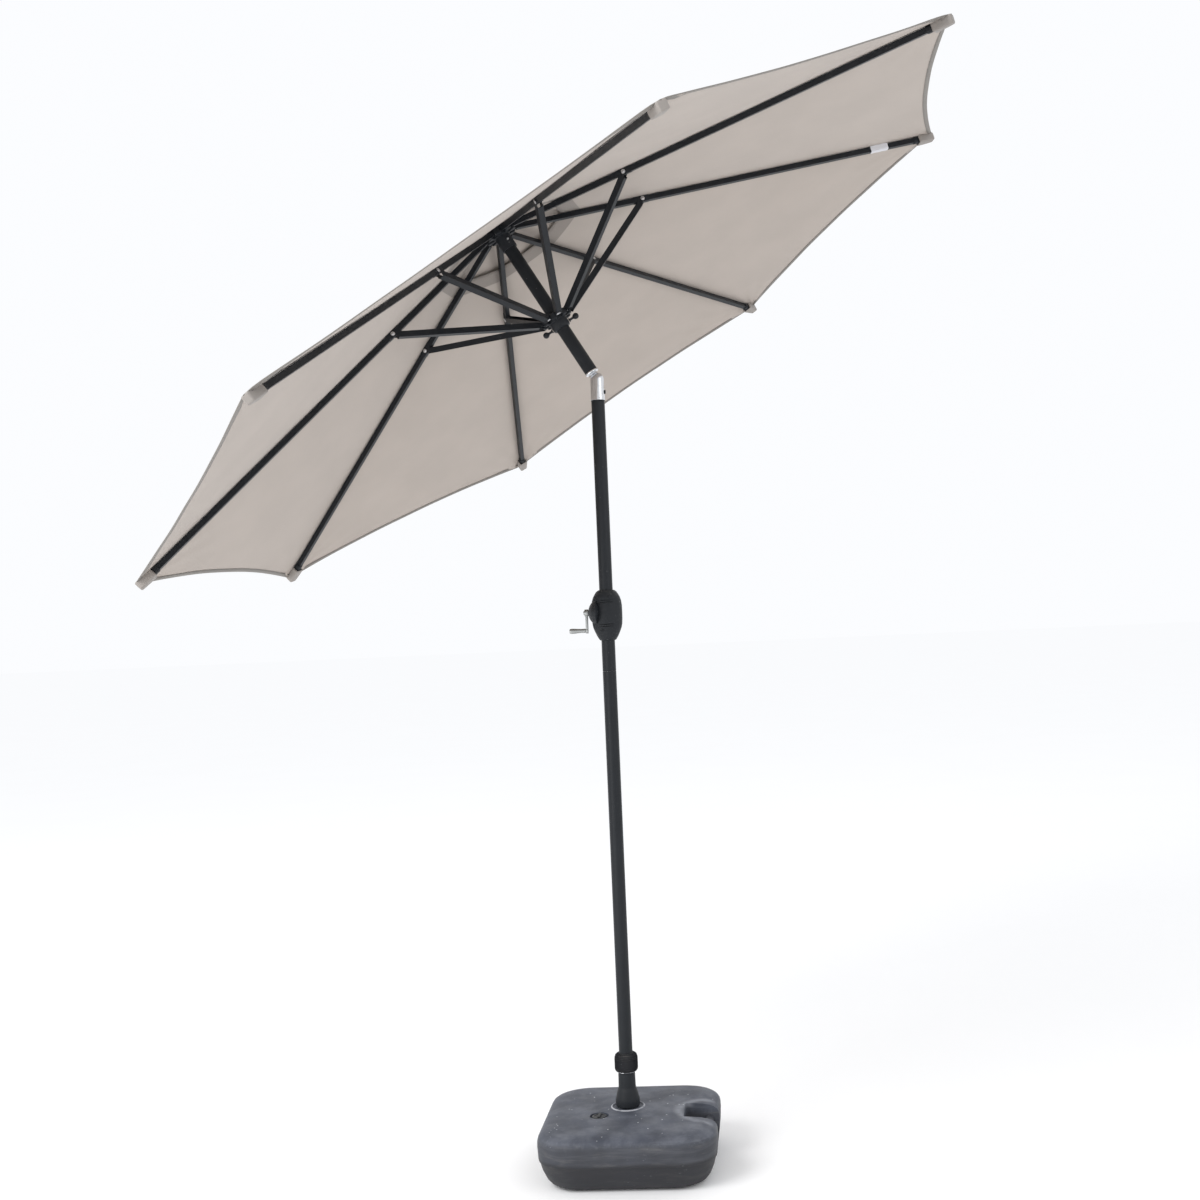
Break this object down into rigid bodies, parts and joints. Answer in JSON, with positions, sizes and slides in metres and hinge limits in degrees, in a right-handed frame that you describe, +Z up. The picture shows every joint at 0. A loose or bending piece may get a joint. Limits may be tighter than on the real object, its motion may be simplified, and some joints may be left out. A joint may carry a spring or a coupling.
{
  "type": "patio umbrella",
  "caption": "Garden market umbrella with a crank, tilting canopy of cloth panels on folding steel ribs, vented top, two-piece pole and a fillable resin base.",
  "frame": {"origin": "on the mast's axis at the underside of the base, which stands on the ground", "axes": "+Z up along the mast; the canopy leans towards -X and tilts about Y; the base's hand hold is at +X; the front of the base faces -Y"},
  "size_m": [2.2058, 2.5676, 2.965],
  "materials": {
    "grey_resin": "grained blow-moulded resin, weathered",
    "ballast": "water fill, never seen",
    "black_plastic": "satin moulded",
    "coated_steel": "dark grey powder coat",
    "chrome": "bright plated",
    "plain_steel": "zinc plated",
    "canvas": "woven polyester"
  },
  "bodies": {
    "base": {"base_tank": "grey_resin", "base_water": "ballast", "base_socket": "black_plastic"},
    "plug": {"filler_plug": "black_plastic"},
    "nut": {"clamp_nut": "black_plastic"},
    "mast": {"lower_pole": "coated_steel", "crank_pole": "coated_steel", "crank_housing_front": "black_plastic", "crank_housing_back": "black_plastic", "tilt_fork": "chrome", "tilt_pin": "plain_steel"},
    "crank": {"cord_spool": "plain_steel", "crank_arm": "chrome"},
    "knob": {"crank_knob": "chrome"},
    "button": {"tilt_button": "black_plastic"},
    "canopy": {"tilt_tongue": "chrome", "upper_pole": "coated_steel", "top_hub": "black_plastic", "pulley_pin": "plain_steel", "vent_cap": "canvas", "finial": "black_plastic"},
    "pulley": {"cord_pulley": "plain_steel"},
    "runner": {"runner": "black_plastic", "runner_peg_right": "black_plastic", "runner_peg_left": "black_plastic"},
    "rib_1": {"rib_1": "coated_steel", "rib_tip_1": "black_plastic"},
    "rib_2": {"rib_2": "coated_steel", "rib_tip_2": "black_plastic"},
    "rib_3": {"rib_3": "coated_steel", "rib_tip_3": "black_plastic"},
    "rib_4": {"rib_4": "coated_steel", "rib_tip_4": "black_plastic"},
    "rib_5": {"rib_5": "coated_steel", "rib_tip_5": "black_plastic"},
    "rib_6": {"rib_6": "coated_steel", "rib_tip_6": "black_plastic"},
    "rib_7": {"rib_7": "coated_steel", "rib_tip_7": "black_plastic"},
    "rib_8": {"rib_8": "coated_steel", "rib_tip_8": "black_plastic"},
    "strut_1": {"strut_1": "coated_steel"},
    "strut_2": {"strut_2": "coated_steel"},
    "strut_3": {"strut_3": "coated_steel"},
    "strut_4": {"strut_4": "coated_steel"},
    "strut_5": {"strut_5": "coated_steel"},
    "strut_6": {"strut_6": "coated_steel"},
    "strut_7": {"strut_7": "coated_steel"},
    "strut_8": {"strut_8": "coated_steel"},
    "panel_1": {"canopy_panel_1": "canvas"},
    "panel_2": {"canopy_panel_2": "canvas"},
    "panel_3": {"canopy_panel_3": "canvas"},
    "panel_4": {"canopy_panel_4": "canvas"},
    "panel_5": {"canopy_panel_5": "canvas"},
    "panel_6": {"canopy_panel_6": "canvas"},
    "panel_7": {"canopy_panel_7": "canvas"},
    "panel_8": {"canopy_panel_8": "canvas"}
  },
  "joints": [
    {"name": "mast_turn", "type": "hinge", "parent": "base", "child": "mast", "pos_m": [0, 0, 0.15], "axis": [0, 0, 1], "continuous": true},
    {"name": "nut_turn", "type": "hinge", "parent": "base", "child": "nut", "pos_m": [0, 0, 0.27], "axis": [0, 0, 1], "range_deg": [0, 360]},
    {"name": "plug_lift", "type": "slide", "parent": "base", "child": "plug", "axis": [0, 0, 1], "range_m": [0, 0.05]},
    {"name": "button_press", "type": "slide", "parent": "mast", "child": "button", "axis": [-1, 0, 0], "range_m": [0, 0.003], "stiffness_N_per_m": 400, "springref_m": -0.003},
    {"name": "canopy_tilt", "type": "hinge", "parent": "mast", "child": "canopy", "pos_m": [0, 0, 2.183], "axis": [0, 1, 0], "range_deg": [0, 30.8]},
    {"name": "runner_slide", "type": "slide", "parent": "canopy", "child": "runner", "axis": [0.512, 0, -0.859], "range_m": [0, 0.131]},
    {"name": "knob_spin", "type": "hinge", "parent": "crank", "child": "knob", "pos_m": [-0.07, 0, 1.475], "axis": [1, 0, 0], "continuous": true},
    {"name": "crank_turn", "type": "hinge", "parent": "mast", "child": "crank", "pos_m": [0, 0, 1.525], "axis": [1, 0, 0], "range_deg": [0, 792]},
    {"name": "pulley_turn", "type": "hinge", "parent": "canopy", "child": "pulley", "pos_m": [-0.26985, 0, 2.63567], "axis": [0, 1, 0], "range_deg": [0, 902]},
    {"name": "rib_fold_1", "type": "hinge", "parent": "canopy", "child": "rib_1", "pos_m": [-0.22996, -0.01803, 2.63849], "axis": [0.3873, 0.8926, 0.2309], "range_deg": [0, 12.05]},
    {"name": "rib_fold_2", "type": "hinge", "parent": "canopy", "child": "rib_2", "pos_m": [-0.22799, 0.01249, 2.63967], "axis": [-0.2683, 0.95, -0.1599], "range_deg": [0, 12.05]},
    {"name": "rib_fold_3", "type": "hinge", "parent": "canopy", "child": "rib_3", "pos_m": [-0.24514, 0.0357, 2.62945], "axis": [-0.7667, 0.4509, -0.457], "range_deg": [0, 12.05]},
    {"name": "rib_fold_4", "type": "hinge", "parent": "canopy", "child": "rib_4", "pos_m": [-0.27136, 0.038, 2.61381], "axis": [-0.816, -0.3123, -0.4864], "range_deg": [0, 12.05]},
    {"name": "rib_fold_5", "type": "hinge", "parent": "canopy", "child": "rib_5", "pos_m": [-0.2913, 0.01803, 2.60193], "axis": [-0.3873, -0.8926, -0.2309], "range_deg": [0, 12.05]},
    {"name": "rib_fold_6", "type": "hinge", "parent": "canopy", "child": "rib_6", "pos_m": [-0.29327, -0.01249, 2.60075], "axis": [0.2683, -0.95, 0.1599], "range_deg": [0, 12.05]},
    {"name": "rib_fold_7", "type": "hinge", "parent": "canopy", "child": "rib_7", "pos_m": [-0.27612, -0.0357, 2.61098], "axis": [0.7667, -0.4509, 0.457], "range_deg": [0, 12.05]},
    {"name": "rib_fold_8", "type": "hinge", "parent": "canopy", "child": "rib_8", "pos_m": [-0.2499, -0.038, 2.62661], "axis": [0.816, 0.3123, 0.4864], "range_deg": [0, 12.05]},
    {"name": "strut_fold_1", "type": "hinge", "parent": "runner", "child": "strut_1", "pos_m": [-0.0784, -0.01803, 2.38424], "axis": [-0.3873, -0.8926, -0.2309], "range_deg": [0, 8.44]},
    {"name": "strut_fold_2", "type": "hinge", "parent": "runner", "child": "strut_2", "pos_m": [-0.07643, 0.01249, 2.38542], "axis": [0.2683, -0.95, 0.1599], "range_deg": [0, 8.44]},
    {"name": "strut_fold_3", "type": "hinge", "parent": "runner", "child": "strut_3", "pos_m": [-0.09357, 0.0357, 2.37519], "axis": [0.7667, -0.4509, 0.457], "range_deg": [0, 8.44]},
    {"name": "strut_fold_4", "type": "hinge", "parent": "runner", "child": "strut_4", "pos_m": [-0.1198, 0.038, 2.35956], "axis": [0.816, 0.3123, 0.4864], "range_deg": [0, 8.44]},
    {"name": "strut_fold_5", "type": "hinge", "parent": "runner", "child": "strut_5", "pos_m": [-0.13973, 0.01803, 2.34768], "axis": [0.3873, 0.8926, 0.2309], "range_deg": [0, 8.44]},
    {"name": "strut_fold_6", "type": "hinge", "parent": "runner", "child": "strut_6", "pos_m": [-0.1417, -0.01249, 2.3465], "axis": [-0.2683, 0.95, -0.1599], "range_deg": [0, 8.44]},
    {"name": "strut_fold_7", "type": "hinge", "parent": "runner", "child": "strut_7", "pos_m": [-0.12456, -0.0357, 2.35672], "axis": [-0.7667, 0.4509, -0.457], "range_deg": [0, 8.44]},
    {"name": "strut_fold_8", "type": "hinge", "parent": "runner", "child": "strut_8", "pos_m": [-0.09833, -0.038, 2.37236], "axis": [-0.816, -0.3123, -0.4864], "range_deg": [0, 8.44]},
    {"name": "panel_fold_1", "type": "hinge", "parent": "canopy", "child": "panel_1", "pos_m": [-0.22898, -0.00277, 2.63908], "axis": [0.0644, 0.9972, 0.0384], "range_deg": [0, 12.73], "deforming": ["canopy_panel_1"]},
    {"name": "panel_fold_2", "type": "hinge", "parent": "canopy", "child": "panel_2", "pos_m": [-0.23656, 0.0241, 2.63456], "axis": [-0.5601, 0.7581, -0.3339], "range_deg": [0, 12.73], "deforming": ["canopy_panel_2"]},
    {"name": "panel_fold_3", "type": "hinge", "parent": "canopy", "child": "panel_3", "pos_m": [-0.25825, 0.03685, 2.62163], "axis": [-0.8565, 0.075, -0.5106], "range_deg": [0, 12.73], "deforming": ["canopy_panel_3"]},
    {"name": "panel_fold_4", "type": "hinge", "parent": "canopy", "child": "panel_4", "pos_m": [-0.28133, 0.02802, 2.60787], "axis": [-0.6512, -0.6521, -0.3882], "range_deg": [0, 12.73], "deforming": ["canopy_panel_4"]},
    {"name": "panel_fold_5", "type": "hinge", "parent": "canopy", "child": "panel_5", "pos_m": [-0.29228, 0.00277, 2.60134], "axis": [-0.0644, -0.9972, -0.0384], "range_deg": [0, 12.73], "deforming": ["canopy_panel_5"]},
    {"name": "panel_fold_6", "type": "hinge", "parent": "canopy", "child": "panel_6", "pos_m": [-0.28469, -0.0241, 2.60587], "axis": [0.5601, -0.7581, 0.3339], "range_deg": [0, 12.73], "deforming": ["canopy_panel_6"]},
    {"name": "panel_fold_7", "type": "hinge", "parent": "canopy", "child": "panel_7", "pos_m": [-0.26301, -0.03685, 2.61879], "axis": [0.8565, -0.075, 0.5106], "range_deg": [0, 12.73], "deforming": ["canopy_panel_7"]},
    {"name": "panel_fold_8", "type": "hinge", "parent": "canopy", "child": "panel_8", "pos_m": [-0.23993, -0.02802, 2.63255], "axis": [0.6512, 0.6521, 0.3882], "range_deg": [0, 12.73], "deforming": ["canopy_panel_8"]}
  ],
  "couplings": [
    {"joint": "crank_turn", "follows": "runner_slide", "rad_per_m": 105},
    {"joint": "pulley_turn", "follows": "runner_slide", "rad_per_m": 120},
    {"joint": "rib_fold_1", "follows": "runner_slide", "rad_per_m": 1.5988},
    {"joint": "rib_fold_2", "follows": "runner_slide", "rad_per_m": 1.5988},
    {"joint": "rib_fold_3", "follows": "runner_slide", "rad_per_m": 1.5988},
    {"joint": "rib_fold_4", "follows": "runner_slide", "rad_per_m": 1.5988},
    {"joint": "rib_fold_5", "follows": "runner_slide", "rad_per_m": 1.5988},
    {"joint": "rib_fold_6", "follows": "runner_slide", "rad_per_m": 1.5988},
    {"joint": "rib_fold_7", "follows": "runner_slide", "rad_per_m": 1.5988},
    {"joint": "rib_fold_8", "follows": "runner_slide", "rad_per_m": 1.5988},
    {"joint": "strut_fold_1", "follows": "runner_slide", "rad_per_m": 1.1178},
    {"joint": "strut_fold_2", "follows": "runner_slide", "rad_per_m": 1.1178},
    {"joint": "strut_fold_3", "follows": "runner_slide", "rad_per_m": 1.1178},
    {"joint": "strut_fold_4", "follows": "runner_slide", "rad_per_m": 1.1178},
    {"joint": "strut_fold_5", "follows": "runner_slide", "rad_per_m": 1.1178},
    {"joint": "strut_fold_6", "follows": "runner_slide", "rad_per_m": 1.1178},
    {"joint": "strut_fold_7", "follows": "runner_slide", "rad_per_m": 1.1178},
    {"joint": "strut_fold_8", "follows": "runner_slide", "rad_per_m": 1.1178},
    {"joint": "panel_fold_1", "follows": "runner_slide", "rad_per_m": 1.6894},
    {"joint": "panel_fold_2", "follows": "runner_slide", "rad_per_m": 1.6894},
    {"joint": "panel_fold_3", "follows": "runner_slide", "rad_per_m": 1.6894},
    {"joint": "panel_fold_4", "follows": "runner_slide", "rad_per_m": 1.6894},
    {"joint": "panel_fold_5", "follows": "runner_slide", "rad_per_m": 1.6894},
    {"joint": "panel_fold_6", "follows": "runner_slide", "rad_per_m": 1.6894},
    {"joint": "panel_fold_7", "follows": "runner_slide", "rad_per_m": 1.6894},
    {"joint": "panel_fold_8", "follows": "runner_slide", "rad_per_m": 1.6894}
  ]
}
